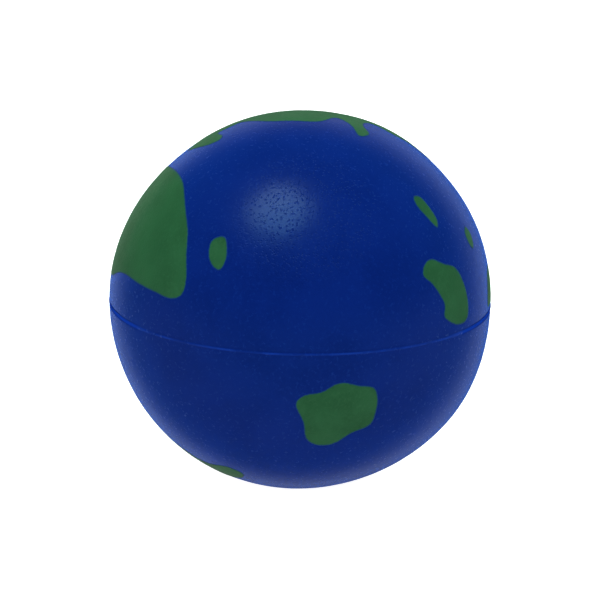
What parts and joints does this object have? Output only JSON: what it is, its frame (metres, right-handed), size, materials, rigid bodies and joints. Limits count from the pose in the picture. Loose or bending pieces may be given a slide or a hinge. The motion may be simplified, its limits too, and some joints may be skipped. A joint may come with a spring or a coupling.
{
  "type": "stress ball",
  "caption": "Soft round foam squeeze ball with a moulded skin, a parting line round its middle and a simple green-on-blue world map.",
  "frame": {"origin": "the ball's centre", "axes": "+Z square to the mould's parting plane, towards the half that carries most of Asia; -Y out of the side with the widest stretch of open sea, between Africa and Australia; +X from that side's Africa towards its Australia"},
  "size_m": [0.0702, 0.0703, 0.0701],
  "materials": {
    "soft_foam": "matte",
    "skin_foam": "matte",
    "blue_paint": "satin",
    "green_paint": "satin"
  },
  "bodies": {
    "root": {"foam_core": "soft_foam", "moulded_skin": "skin_foam", "blue_coat": "blue_paint", "land_africa": "green_paint", "land_antarctica": "green_paint", "land_australia": "green_paint", "land_borneo": "green_paint", "land_eurasia": "green_paint", "land_greenland": "green_paint", "land_madagascar": "green_paint", "land_new_guinea": "green_paint", "land_north_america": "green_paint", "land_south_america": "green_paint", "land_sumatra": "green_paint"}
  },
  "joints": []
}
